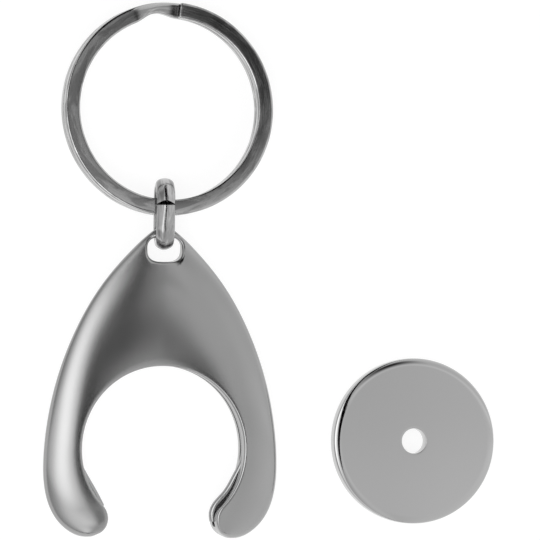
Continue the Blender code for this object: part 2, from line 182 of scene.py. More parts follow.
# White tent: two cards over the object that leave a dark slot for the camera. Height, corners and
# places in millimetres: (place from left to right, level) and (place from front to back, share)
TENT_HEIGHT = 120
LEFT_CARD_CORNERS = [(-900, -900), (-20, -900), (-19, -45), (-20, -29), (-23, -5), (-28, 7),
                     (-35, 16), (-49, 32), (-68, 60), (-85, 100), (-120, 200), (-250, 500),
                     (-900, 900)]
LEFT_CARD_LEVELS = [(-420, 0.86), (-276, 0.98), (-208, 1.12), (-163, 1.26), (-130, 1.5),
                    (-105, 1.9), (-83, 2.28), (-68, 2.45), (-54, 2.4), (-42, 2.0), (-32, 1.55),
                    (-20, 1.25)]
LEFT_CARD_SHARES = [(-400, 0.62), (-160, 0.62), (-120, 0.58), (-86, 0.56), (-56, 0.82), (-30, 1.0),
                    (8, 1.0), (22, 0.84), (40, 0.68), (100, 0.55)]
RIGHT_CARD_CORNERS = [(-20, -900), (900, -900), (900, 900), (0, 900), (0, 62), (-14, 60), (-14, 24),
                      (-4, 6), (5, -3), (12, -9), (16, -15), (15, -23), (4, -36), (-10, -50),
                      (-19, -70)]
RIGHT_CARD_LEVELS = [(-14, 0.67), (4, 0.82), (12, 0.89), (22, 0.93), (30, 0.90), (38, 0.85),
                     (62, 0.92), (200, 1.05)]
RIGHT_CARD_SHARES = [(-60, 0.96), (-37, 0.99), (-13, 0.90), (8, 1.04), (20, 0.92), (40, 0.85),
                     (100, 1.0)]
# Dark patch in the right card, which the ring's right side mirrors: (distance from it, share)
DARK_PATCH = (26, 50)
DARK_PATCH_SHARES = [(0, 0.03), (8, 0.05), (12, 0.10), (18, 0.28), (24, 0.47), (30, 0.70),
                     (42, 1.0)]


def linear(colour):
    """Turn an sRGB hex colour into the linear values that shaders take."""
    parts = (int(colour[i:i + 2], 16) / 255 for i in (1, 3, 5))
    return tuple(part / 12.92 if part <= 0.04045 else ((part + 0.055) / 1.055) ** 2.4
                 for part in parts)


def length(name, description, millimetres):
    """Property for one of the object's sizes."""
    return FloatProperty(name=name, description=description, default=millimetres * MM, min=0.0,
                         precision=5, subtype="DISTANCE", unit="LENGTH")


def angle(name, description, degrees):
    """Property for one of the object's angles."""
    return FloatProperty(name=name, description=description, default=radians(degrees),
                         subtype="ANGLE", unit="ROTATION")


def share(name, description, value):
    """Property for a plain number from 0 to 1."""
    return FloatProperty(name=name, description=description, default=value, min=0.0, max=1.0,
                         subtype="FACTOR")


def tint(name, description, colour):
    """Property for a colour."""
    return FloatVectorProperty(name=name, description=description, default=linear(colour), size=3,
                               min=0.0, max=1.0, subtype="COLOR")


class HolderSettings(PropertyGroup):
    """Sizes and finish of the holder."""
    width: length("Width", "Width over both arms", 33.6)
    top: length("Top", "Height of the top above the opening's centre", 31.3)
    seat_clearance: length("Seat Clearance", "Clearance round the chip in the opening", 0.055)
    lip_top: length("Lip at Top", "Thickness at the top of the opening", 2.85)
    lip_side: length("Lip at Sides", "Thickness at the sides of the opening", 4.1)
    lip_tip: length("Lip at Tips", "Thickness at the tips", 4.5)
    lip_fillet: length("Lip Fillet", "Rounding of the opening's edges", 0.35)
    tip_radius: length("Tip Radius", "Radius of the round tips", 2.65)
    bridge: length("Bridge", "Metal above the eyelet", 1.45)
    eyelet_width: length("Eyelet Width", "Width of the eyelet", 5.0)
    eyelet_height: length("Eyelet Height", "Height of the eyelet", 3.55)
    eyelet_rim: length("Eyelet Rim", "Rounding of the eyelet's edges", 0.5)
    colour: tint("Nickel", "Colour of the satin nickel plating", "#A3A3A3")
    roughness: share("Roughness", "Roughness of the satin nickel plating", 0.2)


class SpringSettings(PropertyGroup):
    """Sizes and finish of the spring wire."""
    diameter: length("Diameter", "Diameter of the wire", 1.0)
    clearance: length("Clearance", "Clearance of the wire in its groove", 0.2)
    end_edge: length("End Edge", "Rounding of the wire's two cut ends", 0.18)
    colour: tint("Steel", "Colour of the spring steel", "#A8A8A8")
    roughness: share("Roughness", "Roughness of the drawn wire", 0.22)


class LinkSettings(PropertyGroup):
    """Sizes of the link."""
    width: length("Width", "Width of the half-round strip", 2.65)
    strip: length("Strip", "Thickness of the half-round strip", 1.28)
    side: length("Side", "Height of the strip's upright sides in the bends", 0.4)
    ridge: length("Ridge", "Half width of the strip's ridge", 0.3)
    slope: share("Slope", "Slope of the strip's outer faces", 0.62)
    window_length: length("Window Length", "Length of the link's window", 7.55)
    window_depth: length("Window Depth", "Depth of the link's window", 4.0)
    edge: length("Edge", "Rounding of the strip's edges", 0.2)
    play: length("Play", "Play of the link in the eyelet", 0.62)
    seam_gap: length("Seam Gap", "Gap between the strip's two ends", 0.06)
    seam_rise: length("Seam Rise", "Height of the seam above the link's middle", 1.3)
    hollow: length("Hollow", "Hollow in the strip's upper end", 0.62)
    drift: length("Drift", "How far the ridge drifts to the left below the seam", 0.55)
    twist: angle("Twist", "Turn of the link about its length", -8.5)


class RingSettings(PropertyGroup):
    """Sizes and finish of the split ring and of the link, which are plated alike."""
    diameter: length("Diameter", "Outer diameter of the ring", 30.0)
    wire_width: length("Wire Width", "Width of the flat wire across the ring's face", 2.15)
    wire_thickness: length("Wire Thickness", "Thickness of one turn", 1.4)
    turn_gap: length("Turn Gap", "Gap between the two turns", 0.06)
    wire_edge: length("Wire Edge", "Rounding of the wire's edges, across its sides", 0.22)
    wire_shoulder: length("Wire Shoulder", "Rounding of the wire's edges, over its faces", 0.34)
    end_edge: length("End Edge", "Rounding of the wire's two cut ends", 0.2)
    narrowing: length("Narrowing", "How much narrower the wire is in the joggle", 0.66)
    colour: tint("Nickel", "Colour of the bright nickel plating", "#B0B0B0")
    roughness: share("Roughness", "Roughness of the bright nickel plating", 0.16)


class ChipSettings(PropertyGroup):
    """Sizes and finish of the chip."""
    diameter: length("Diameter", "Diameter of the chip", 23.25)
    thickness: length("Thickness", "Thickness of the chip", 2.33)
    hole: length("Hole", "Diameter of the hole", 3.55)
    hole_edge: length("Hole Edge", "Rounding of the hole's edges", 0.0875)
    edge: length("Edge", "Rounding of the chip's outer edges", 0.35)
    roll: length("Roll", "Radius of the faces' roll towards the rim", 2.6)
    roll_turn: angle("Roll Turn", "Slope at which the edge takes over from the roll", 20.0)
    colour: tint("Nickel", "Colour of the polished nickel plating", "#B5B5B5")
    roughness: share("Roughness", "Roughness of the polished nickel plating", 0.07)


class StageSettings(PropertyGroup):
    """Camera and floor."""
    view_angle: angle("View Angle", "Camera's angle to the left of overhead", 13.6)
    roll: angle("Roll", "How far the camera is rolled", 0.7)
    distance: length("Distance", "Distance of the camera", 3000.0)
    floor: tint("Floor", "Colour of the floor", "#E8E8E8")


def settings(kind):
    """The scene's settings for one piece."""
    return getattr(bpy.context.scene, "keyring_" + kind)


def opening_radius():
    return settings("chip").diameter / 2 + settings("holder").seat_clearance


def towards(turn):
    """Unit vector at an angle from X."""
    return np.array((cos(turn), sin(turn)))


def tip_centre():
    """Centre of the right arm's round tip."""
    return towards(-TIP_TANGENT) * (opening_radius() + settings("holder").tip_radius)


def link_axis_height():
    """Height of the link's axis above the opening's centre, in the holder's own plane."""
    holder, link = settings("holder"), settings("link")
    return holder.top - holder.bridge - link.play + link.window_depth / 2


def hinge_height():
    """Height of both hinges above the floor: the link rests on its rear strand."""
    link = settings("link")
    return (link.window_depth / 2 + link.strip) * cos(link.twist)


def holder_place():
    """Place of the holder: it leans on the link and on its tips."""
    reach_down = link_axis_height() - tip_centre()[1]
    lean = asin((hinge_height() - settings("holder").lip_tip / 2) / reach_down)
    to_opening = Matrix.Translation((0, -link_axis_height(), 0))
    return Matrix.Translation(AXES["link_swing"]) @ Matrix.Rotation(lean, 4, "X") @ to_opening


def ring_place():
    """Place of the ring: it hangs in the link and leans down to the floor."""
    ring = settings("ring")
    radius = (ring.diameter - ring.wire_width) / 2
    half = ring.wire_thickness + ring.turn_gap / 2
    turn = Matrix.Rotation(-asin((hinge_height() - half) / (radius + ring.diameter / 2)), 4, "X")
    return Matrix.Translation(AXES["ring_swing"]) @ turn @ Matrix.Translation((0, radius, 0))


def arc(centre, radii, steps, first=0.0, last=pi / 2):
    """Points on a circle or an ellipse, from one angle to another."""
    turns = np.linspace(first, last, steps + 1)
    return list(zip(centre[0] + radii[0] * np.cos(turns), centre[1] + radii[1] * np.sin(turns)))


def turned(profile, turn):
    """Section of (radius, height) points, set at an angle round Z."""
    radius, height = profile.T
    return np.column_stack((radius * cos(turn), radius * sin(turn), height))


def blend(value, low, high):
    """Smooth step from 0 at low to 1 at high."""
    part = min(max((value - low) / (high - low), 0.0), 1.0)
    return part * part * (3 - 2 * part)


def running_sum(distances):
    return np.concatenate(([0.0], np.cumsum(distances)))


def smooth_curve(points, steps):
    """Run a natural cubic spline through 2D points and return steps + 1 points along it."""
    knots = np.array(points)
    ways = np.diff(knots, axis=0)
    chords = np.hypot(*ways.T)
    slopes = ways / chords[:, None]
    at = running_sum(chords)
    count = len(knots)
    system = np.eye(count)
    right = np.zeros_like(knots)
    for i in range(1, count - 1):
        system[i, i - 1:i + 2] = chords[i - 1], 2 * (chords[i - 1] + chords[i]), chords[i]
        right[i] = 6 * (slopes[i] - slopes[i - 1])
    bends = np.linalg.solve(system, right)
    where = np.linspace(0, at[-1], steps + 1)
    i = np.clip(np.searchsorted(at, where, side="right") - 1, 0, count - 2)
    left, ahead, span = (where - at[i])[:, None], (at[i + 1] - where)[:, None], chords[i][:, None]
    value = (bends[i] * ahead ** 3 + bends[i + 1] * left ** 3) / (6 * span)
    value += (knots[i] / span - bends[i] * span / 6) * ahead
    return value + (knots[i + 1] / span - bends[i + 1] * span / 6) * left


def loft(name, sections, closed=False):
    """Mesh over equal loops of points, capped unless it closes on itself.

    Its UV map is in metres: u runs along the piece and v round it.
    """
    sections = np.asarray(sections, float)
    count, around = sections.shape[:2]
    i, j = np.meshgrid(np.arange(count if closed else count - 1), np.arange(around), indexing="ij")
    places = ((i, j), (i, j + 1), (i + 1, j + 1), (i + 1, j))
    quads = np.stack([u % count * around + v % around for u, v in places], -1)
    faces = quads.reshape(-1, 4).tolist()
    if not closed:
        faces += [list(range(around))[::-1], list(range((count - 1) * around, count * around))]
    mesh = bpy.data.meshes.new(name)
    mesh.from_pydata(sections.reshape(-1, 3).tolist(), [], faces)
    middles = sections.mean(1)
    gaps = np.diff(middles, axis=0, append=middles[:1])
    along = running_sum(np.linalg.norm(gaps, axis=1))
    edges = np.diff(sections, axis=1, append=sections[:, :1])
    across = running_sum(np.linalg.norm(edges, axis=2).mean(0))
    corners = np.stack([np.stack([along[u], across[v]], -1) for u, v in places], 2)
    layer = mesh.uv_layers.new(name="along_and_round")
    values = np.zeros((len(mesh.loops), 2))
    values[:quads.size] = corners.reshape(-1, 2)
    if not closed:
        values[quads.size:, 1] = np.tile(across[:-1], 2)
    layer.data.foreach_set("uv", values.astype(np.float32).ravel())
    return mesh


def tidy_normals(mesh, sharp_angle):
    """Turn all faces outwards and shade them smooth apart from sharp edges."""
    bm = bmesh.new()
    bm.from_mesh(mesh)
    bmesh.ops.remove_doubles(bm, verts=bm.verts, dist=LEAST_EDGE)
    bmesh.ops.recalc_face_normals(bm, faces=bm.faces)
    bm.to_mesh(mesh)
    bm.free()
    mesh.shade_smooth()
    mesh.set_sharp_from_angle(angle=sharp_angle)


def fit(mesh, node):
    """Set a mesh exactly into the box of the solid that it stands for."""
    points = np.array([vertex.co for vertex in mesh.vertices])
    low, high = (np.array(corner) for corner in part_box(node))
    own_low, own_high = points.min(0), points.max(0)
    scale = (high - low) / (own_high - own_low)
    if abs(scale - 1).max() > MOST_FIT:
        raise RuntimeError(f"{mesh.name} doesn't have the size of {node}: {scale}")
    points = (low + high) / 2 + (points - (own_low + own_high) / 2) * scale
    mesh.vertices.foreach_set("co", points.astype(np.float32).ravel())
    mesh.update()


def add_piece(name, mesh, place, node, body, material, sharp_angle=SHARP_ANGLE, fitted=True):
    """Put a mesh where the solid that it stands for lies, and let it ride on that solid's body."""
    mesh.transform(place)
    tidy_normals(mesh, sharp_angle)
    if fitted:
        fit(mesh, node)
    mesh.materials.clear()
    mesh.materials.append(material)
    piece = bpy.data.objects.new(name, mesh)
    bpy.context.scene.collection.objects.link(piece)
    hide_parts(node)
    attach(piece, body)


def add_node(tree, kind, inputs=None, **values):
    """Add a node with its settings, and link or set its inputs."""
    node = tree.nodes.new("ShaderNode" + kind)
    for name, value in values.items():
        setattr(node, name, value)
    for name, value in (inputs or {}).items():
        socket = node.inputs[name]
        if isinstance(value, bpy.types.NodeSocket):
            tree.links.new(value, socket)
        else:
            socket.default_value = value
    return node


def new_material(name):
    """Material with its shader, and the shader's node tree."""
    material = bpy.data.materials.new(name)
    material.use_nodes = True
    return material, material.node_tree, material.node_tree.nodes["Principled BSDF"]


def metal(name, kind):
    """Metal material with one piece's plain values set on the shader's own sockets."""
    finish = settings(kind)
    material, tree, shader = new_material(name)
    shader.inputs["Metallic"].default_value = 1.0
    shader.inputs["Base Color"].default_value = (*finish.colour, 1.0)
    shader.inputs["Roughness"].default_value = finish.roughness
    return finish, material, tree, shader


def satin_nickel_plated_zinc():
    """Die cast zinc, blasted with fine glass beads and nickel plated.

    To the eye it is a silky grey that spreads each reflection, with an even fine grain.
    """
    finish, material, tree, shader = metal("satin nickel plated zinc casting", "holder")
    place = add_node(tree, "TexCoord").outputs["Object"]
    # Blast marks are about 0.05 mm across, drawn at 0.2 mm so that they show
    grain = add_node(tree, "TexNoise", {"Vector": place, "Scale": 1 / (0.2 * MM), "Detail": 2.0})
    spread = add_node(tree, "MapRange", {"Value": grain.outputs["Fac"], "From Min": 0.3,
                                         "From Max": 0.7, "To Min": finish.roughness - 0.01,
                                         "To Max": finish.roughness + 0.01})
    tree.links.new(spread.outputs["Result"], shader.inputs["Roughness"])
    bump = add_node(tree, "Bump", {"Height": grain.outputs["Fac"], "Distance": 0.003 * MM,
                                   "Strength": 0.6})
    tree.links.new(bump.outputs["Normal"], shader.inputs["Normal"])
    # The plating clouds over some mm
    cloud = add_node(tree, "TexNoise", {"Vector": place, "Scale": 1 / (6 * MM), "Detail": 3.0})
    dark, pale = ((*(value * level for value in finish.colour), 1.0) for level in (0.94, 1.0))
    shade = add_node(tree, "Mix", {0: cloud.outputs["Fac"], 6: dark, 7: pale}, data_type="RGBA")
    tree.links.new(shade.outputs[2], shader.inputs["Base Color"])
    return material


def bright_nickel_plated_steel():
    """Flat steel wire, drawn, bent and tumbled, with bright nickel plating.

    To the eye it mirrors its surroundings in streaks that follow the wire. Some of these streaks
    are painted reflections in its colour.
    """
    finish, material, tree, shader = metal("bright nickel plated steel", "ring")
    place = add_node(tree, "UVMap", uv_map="along_and_round").outputs["UV"]
    # Drawing marks are 0.02 mm wide and some mm long, drawn at 0.12 mm so that they show
    scale = (1 / (4 * MM), 1 / (0.12 * MM), 1)
    stretch = add_node(tree, "Mapping", {"Vector": place, "Scale": scale})
    streak = add_node(tree, "TexNoise", {"Vector": stretch.outputs["Vector"], "Scale": 1.0,
                                         "Detail": 3.0, "Roughness": 0.6})
    spread = add_node(tree, "MapRange", {"Value": streak.outputs["Fac"], "From Min": 0.3,
                                         "From Max": 0.75, "To Min": finish.roughness - 0.06,
                                         "To Max": finish.roughness + 0.1})
    tree.links.new(spread.outputs["Result"], shader.inputs["Roughness"])
    bump = add_node(tree, "Bump", {"Height": streak.outputs["Fac"], "Distance": 0.003 * MM,
                                   "Strength": 0.7})
    tree.links.new(bump.outputs["Normal"], shader.inputs["Normal"])
    # Painted reflection streaks: paler and darker patches some mm long along the wire, painted into
    # the colour
    scale = (1 / (6 * MM), 1 / (1.5 * MM), 1)
    painted_streak_stretch = add_node(tree, "Mapping", {"Vector": place, "Scale": scale})
    patch = add_node(tree, "TexNoise", {"Vector": painted_streak_stretch.outputs["Vector"], "Scale": 1.0,
                                        "Detail": 5.0, "Roughness": 0.6, "Distortion": 1.0})
    part = add_node(tree, "MapRange", {"Value": patch.outputs["Fac"], "From Min": 0.44,
                                       "From Max": 0.56})
    dark, pale = ((*(value * level for value in finish.colour), 1.0) for level in (0.68, 1.12))
    shade = add_node(tree, "Mix", {0: part.outputs["Result"], 6: dark, 7: pale}, data_type="RGBA")
    tree.links.new(shade.outputs[2], shader.inputs["Base Color"])
    return material


def drawn_spring_steel():
    """Bare spring steel wire as it leaves the drawing die: smooth, with fine lines along it."""
    _, material, tree, shader = metal("drawn spring steel wire", "spring")
    place = add_node(tree, "UVMap", uv_map="along_and_round").outputs["UV"]
    # Die lines are 0.02 mm wide, drawn at 0.1 mm so that they show
    scale = (1 / (6 * MM), 1 / (0.1 * MM), 1)
    stretch = add_node(tree, "Mapping", {"Vector": place, "Scale": scale})
    line = add_node(tree, "TexNoise", {"Vector": stretch.outputs["Vector"], "Scale": 1.0,
                                       "Detail": 2.0})
    bump = add_node(tree, "Bump", {"Height": line.outputs["Fac"], "Distance": 0.002 * MM,
                                   "Strength": 0.5})
    tree.links.new(bump.outputs["Normal"], shader.inputs["Normal"])
    return material


def polished_nickel_plated_chip():
    """Punched steel disc, tumbled, polished and nickel plated.

    To the eye it is almost a mirror, with a faint uneven haze from tumbling.
    """
    finish, material, tree, shader = metal("polished nickel plated steel disc", "chip")
    place = add_node(tree, "TexCoord").outputs["Object"]
    # The haze comes and goes over some mm
    haze = add_node(tree, "TexNoise", {"Vector": place, "Scale": 1 / (3 * MM), "Detail": 4.0})
    spread = add_node(tree, "MapRange", {"Value": haze.outputs["Fac"], "From Min": 0.3,
                                         "From Max": 0.7, "To Min": finish.roughness - 0.03,
                                         "To Max": finish.roughness + 0.03})
    tree.links.new(spread.outputs["Result"], shader.inputs["Roughness"])
    return material


def outer_outline():
    """Holder's outer outline, from the right tip over the top to the left tip."""
    holder = settings("holder")
    side, centre = holder.width / 2, tip_centre()
    depth = holder.tip_radius - centre[1]
    tip_side = holder.tip_radius + centre[0]
    half = [tip_point(TIP_LOWEST), tip_point(TIP_LOWEST + 2 * SECTION_TURN)]
    half += [(tip_side + out * (side - tip_side), -down * depth)
             for out, down in LOWER_OUTLINE_SHARES]
    half += [(out * side, up * holder.top) for out, up in UPPER_OUTLINE_SHARES]
    mirrored = [(-x, y) for x, y in reversed(half)]
    return smooth_curve([*half, (0.0, holder.top), *mirrored], OUTLINE_STEPS)


def tip_point(turn):
    """Point on the round inner end of the right arm."""
    return tip_centre() + towards(turn) * settings("holder").tip_radius


def reach(start, direction, outline):
    """Distance from a point to the outline along a direction."""
    across = (outline - start) @ np.array((-direction[1], direction[0]))
    along = (outline - start) @ direction
    crossed = np.nonzero((across[:-1] > 0) != (across[1:] > 0))[0]
    part = across[crossed] / (across[crossed] - across[crossed + 1])
    return (along[crossed] + part * (along[crossed + 1] - along[crossed])).max()


def lip_half(turn):
    """Half thickness at the lip, thin at the top of the opening and thick at the tips."""
    holder = settings("holder")
    side = holder.lip_top + (holder.lip_side - holder.lip_top) * blend(turn, 0, pi / 2)
    return (side + (holder.lip_tip - side) * blend(turn, pi / 2, pi / 2 + TIP_TANGENT)) / 2


def groove_depth(tip_turn):
    """Depth of the groove, which fades out on the tip just past the wire's long end."""
    spring = settings("spring")
    end = np.array(WIRE_LONG_SIDE_SHARES[-1]) * opening_radius() - tip_centre()
    last = atan2(end[1], end[0]) % (2 * pi) + GROOVE_END_MARGIN
    full = spring.diameter + spring.clearance
    return max(full * (1 - blend(tip_turn, last, last + GROOVE_END_FADE)), GROOVE_LEAST)


def dome(width, fillet, half, turn):
    """Distances along one section from its fillet to the outline, and the heights there."""
    part = np.sin(pi / 2 * np.arange(DOME_STEPS) / DOME_STEPS)
    fade = exp(-(turn / DOME_FADE) ** DOME_FADE_POWER)
    power = EDGE_DOME_POWER + (MIDDLE_DOME_POWER - EDGE_DOME_POWER) * fade
    bulge = CROWN * exp(-(turn / CROWN_FADE) ** 2)
    crown = 1 + bulge * np.sin(pi * np.minimum(part / CROWN_END, 1))
    return fillet + (width - fillet) * part, half * np.sqrt(1 - part ** power) * crown


def holder_section(start, direction, width, turn, tip_turn):
    """One loop round the holder: the grooved wall of the opening, a lip and a dome on each face.

    At the lowest part of the tip the wall is rounded over more and more, which makes a nose.
    """
    holder, spring = settings("holder"), settings("spring")
    low = max(cos(tip_turn - TIP_LOWEST), 0.0) if tip_turn else 0.0
    half = lip_half(turn) * sqrt(1 - NOSE_THINNING_SHARE * low ** NOSE_THINNING_POWER)
    nose = blend(low, NOSE_START_SHARE, 1)
    fillet = holder.lip_fillet + (width * NOSE_FILLET_SHARE - holder.lip_fillet) * nose
    wall_half = (half - holder.lip_fillet) * (1 - NOSE_FILLET_SHARE * 2 * nose)
    depth = groove_depth(tip_turn)
    full_half = spring.diameter / 2 + spring.clearance
    groove_half = min(full_half, wall_half * NOSE_GROOVE_SHARE)
    bottom = depth * (1 - full_half / (spring.diameter + spring.clearance))
    upper = arc((bottom, 0.0), (depth - bottom, groove_half), GROOVE_STEPS)[1:]
    upper.append((0.0, groove_half))
    upper += arc((fillet, wall_half), (-fillet, half - wall_half), LIP_STEPS)
    upper += list(zip(*dome(width, fillet, half, turn)))[1:]
    lower = [(out, -high) for out, high in reversed(upper)]
    profile = np.array([*upper, (width, 0.0), *lower, (depth, 0.0)])
    flat = start + np.outer(profile[:, 0], direction)
    return np.column_stack((flat, profile[:, 1]))


def holder_sections():
    """Loops of the whole holder, from the left tip to the right one."""
    outline = outer_outline()
    last = pi / 2 + TIP_TANGENT
    stations = []
    for i in range(ROUND_STEPS + 1):
        turn = last * (i / ROUND_STEPS) ** ROUND_SPACING_POWER
        stations.append((towards(pi / 2 - turn) * opening_radius(), turn, 0.0))
    first, end = pi - TIP_TANGENT, TIP_LOWEST - NOSE_END
    for i in range(1, TIP_STEPS + 1):
        tip_turn = first + (end - first) * (1 - (1 - i / TIP_STEPS) ** TIP_SPACING_POWER)
        stations.append((tip_point(tip_turn), last, tip_turn))
    right = []
    for start, turn, tip_turn in stations:
        excess = (pi / 2 - turn + SECTION_TURN) / TURN_SOFTNESS
        direction = towards(TURN_SOFTNESS * log(1 + exp(excess)) - SECTION_TURN)
        width = reach(start, direction, outline)
        right.append(holder_section(start, direction, width, turn, tip_turn))
    left = [section * (-1, 1, 1) for section in reversed(right[1:])]
    return left + right


def eyelet_outline(grow):
    """Loop of the eyelet, with an arched top and a flatter bottom."""
    holder = settings("holder")
    middle = holder.top - holder.bridge - holder.eyelet_height / 2
    turns = 2 * pi * np.arange(EYELET_STEPS) / EYELET_STEPS
    powers = 2 / np.where(np.sin(turns) > 0, EYELET_ARCH_POWER, EYELET_BOTTOM_POWER)
    x, y = (np.copysign(abs(side) ** powers, side) for side in (np.cos(turns), np.sin(turns)))
    return np.column_stack((x * (holder.eyelet_width / 2 + grow),
                            middle + y * (holder.eyelet_height / 2 + grow)))


def eyelet_cutter(body):
    """Cutter whose ends flare along the holder's two faces, which leaves an even rounded rim."""
    holder = settings("holder")
    rim, high = holder.eyelet_rim, holder.lip_tip
    surface = bmesh.new()
    surface.from_mesh(body)
    tree = BVHTree.FromBMesh(surface)
    surface.free()

    def face_height(x, y):
        hit = tree.ray_cast(Vector((x, y, high)), Vector((0, 0, -1)))[0]
        return hit.z if hit else 0.0

    upper = []
    for bend in np.linspace(0, RIM_TOP, EYELET_RIM_STEPS + 1):
        flat = eyelet_outline(rim * (1 - cos(bend)))
        upper.append([(x, y, face_height(x, y) - rim * (1 - sin(bend))) for x, y in flat])
    flat = eyelet_outline(rim)
    upper.append([(x, y, face_height(x, y) + rim * RIM_OVERRUN) for x, y in flat])
    upper.append([(x, y, high) for x, y in flat])
    lower = [[(x, y, -z) for x, y, z in section] for section in reversed(upper)]
    return loft("eyelet_cutter", lower + upper)


def cut(mesh, cutter):
    """Take one mesh out of another."""
    objects = [bpy.data.objects.new(part.name, part) for part in (mesh, cutter)]
    for item in objects:
        bpy.context.scene.collection.objects.link(item)
        tidy_normals(item.data, SHARP_ANGLE)
    step = objects[0].modifiers.new("eyelet", "BOOLEAN")
    step.operation = "DIFFERENCE"
    step.object = objects[1]
    graph = bpy.context.evaluated_depsgraph_get()
    result = bpy.data.meshes.new_from_object(objects[0].evaluated_get(graph))
    for item in objects:
        bpy.data.objects.remove(item)
    return result


def spring_sections():
    """Round sections along the wire: round the groove, then in past the lips at both ends."""
    radius, opening = settings("spring").diameter / 2, opening_radius()
    centre = opening + radius
    upper = arc((0, 0), (centre, centre), WIRE_ARC_STEPS, -WIRE_ARC_OVERRUN, pi + WIRE_ARC_OVERRUN)
    right = np.array(WIRE_LONG_SIDE_SHARES[::-1]) * opening
    left = np.array(WIRE_SHORT_SIDE_SHARES) * opening
    route = smooth_curve([*right, *upper, *left], WIRE_STEPS)
    ahead = np.gradient(route, axis=0)
    side = np.column_stack((ahead[:, 1], -ahead[:, 0]))
    side /= np.linalg.norm(side, axis=1)[:, None]
    outward, high = np.array(arc((0, 0), (radius, radius), WIRE_SIDES, 0, 2 * pi)[:-1]).T
    sections = [np.column_stack((point + np.outer(outward, out), high))
                for point, out in zip(route, side)]
    return round_ends(sections, settings("spring").end_edge)


def round_ends(sections, radius):
    """Round the two cut ends over with loops that shrink as they run out to the end."""
    sections = np.asarray(sections)
    ends = []
    for end, inside in ((0, 1), (-1, -2)):
        middle = sections[end].mean(0)
        inward = sections[inside].mean(0) - middle
        inward /= np.linalg.norm(inward)
        reach_out = sections[end] - middle
        size = np.linalg.norm(reach_out, axis=1).min()
        loops = []
        for bend in np.linspace(0, pi / 2, END_STEPS + 1):
            shrink = 1 - radius * (1 - cos(bend)) / size
            loops.append(middle + reach_out * shrink + inward * radius * (1 - sin(bend)))
        ends.append(np.array(loops))
    return np.concatenate((ends[0][::-1], sections[1:-1], ends[1]))


def strip_profile(bend, shift):
    """Section of the link: (across, outward) points, flat on the inside of the loop.

    Where the strip is straight, its outer face is a gable with a narrow flat ridge, shifted to one
    side. In the bends it is half-round. Each outer point has an inner one below it.
    """
    link = settings("link")
    half = link.width / 2

    def roof(across):
        ridge = link.ridge
        gable = link.strip - link.slope * (((across - shift) ** 4 + ridge ** 4) ** 0.25 - ridge)
        arch = link.side + (link.strip - link.side) * sqrt(max(1 - (across / half) ** 2, 0.0))
        return gable + (arch - gable) * bend

    corner = arc((half - link.edge, 0.0), (link.edge, link.edge), CORNER_STEPS)
    middle = np.linspace(half - link.edge, 0, LINK_ROOF_STEPS + 1)[1:]
    sides = []
    for side in (1, -1):
        outer = [(side * x, roof(side * x) - link.edge + y) for x, y in corner]
        outer += [(side * x, roof(side * x)) for x in middle]
        inner = [(side * x, link.edge - y) for x, y in corner] + [(side * x, 0.0) for x in middle]
        sides.append(inner[::-1] + outer)
    return sides[0] + sides[1][-2:0:-1]


def link_route(low, high):
    """Inner line of the loop from one end at the seam to the other: place and outward direction."""
    link = settings("link")
    bend = link.window_depth / 2
    run = (link.window_length - link.window_depth) / 2
    route = [((x, bend), (0.0, 1.0))
             for x in np.linspace(low, -run, LINK_RUN_STEPS, endpoint=False)]
    for middle, first in ((-run, pi / 2), (run, -pi / 2)):
        for outward in arc((0, 0), (1, 1), LINK_BEND_STEPS, first, first + pi):
            route.append(((middle + outward[0] * bend, outward[1] * bend), outward))
    route += [((x, bend), (0.0, 1.0)) for x in np.linspace(run, high, LINK_RUN_STEPS)[1:]]
    return route


def link_sections():
    """Strip bent round the window. Its upper end is undercut, so that the seam shows dark."""
    link = settings("link")
    middle = (link.window_length - link.window_depth) / 2
    low, high = link.seam_rise - link.seam_gap / 2, link.seam_rise + link.seam_gap / 2

    def upper_end(across, out):
        arch = sqrt(max(1 - (across / link.width * 2) ** 2, 0.0))
        return high + link.hollow * arch * out / link.strip

    sections = []
    for place, outward in link_route(low, high):
        front = max(outward[1], 0.0)
        rounding = blend(abs(outward[0]), *LINK_ROUNDING)
        if outward[0] < 0:
            rounding *= LINK_LOWER_ROUNDING
        below = max(link.seam_rise - place[0], 0.0) / link.window_length
        section = []
        for across, out in strip_profile(rounding, -link.drift * below * front):
            along = place[0] + outward[0] * out
            if front and place[0] > link.seam_rise:
                along = max(along, upper_end(across, out))
            section.append((across, along + middle, place[1] + outward[1] * out))
        sections.append(section)
    # Each end closes along a line just inside the strip's inner face
    line = link.window_depth / 2 + link.edge
    first = [(across, low + middle, line) for across, _, _ in sections[0]]
    last = [(across, upper_end(across, link.edge) + middle, line) for across, _, _ in sections[-1]]
    return [first, *sections, last]


def wire_profile(width):
    """Ring's flat wire with soft edges: (radial, axial) points, outer side at radial 0."""
    ring = settings("ring")
    half, edge, shoulder = ring.wire_thickness / 2, ring.wire_edge, ring.wire_shoulder
    outer, inner, high = -shoulder, shoulder - width, half - edge
    points = []
    for i, centre in enumerate(((outer, high), (inner, high), (inner, -high), (outer, -high))):
        start = pi / 2 * i
        points += arc(centre, (shoulder, edge), RING_EDGE_STEPS, start, start + pi / 2)
    return np.array(points)


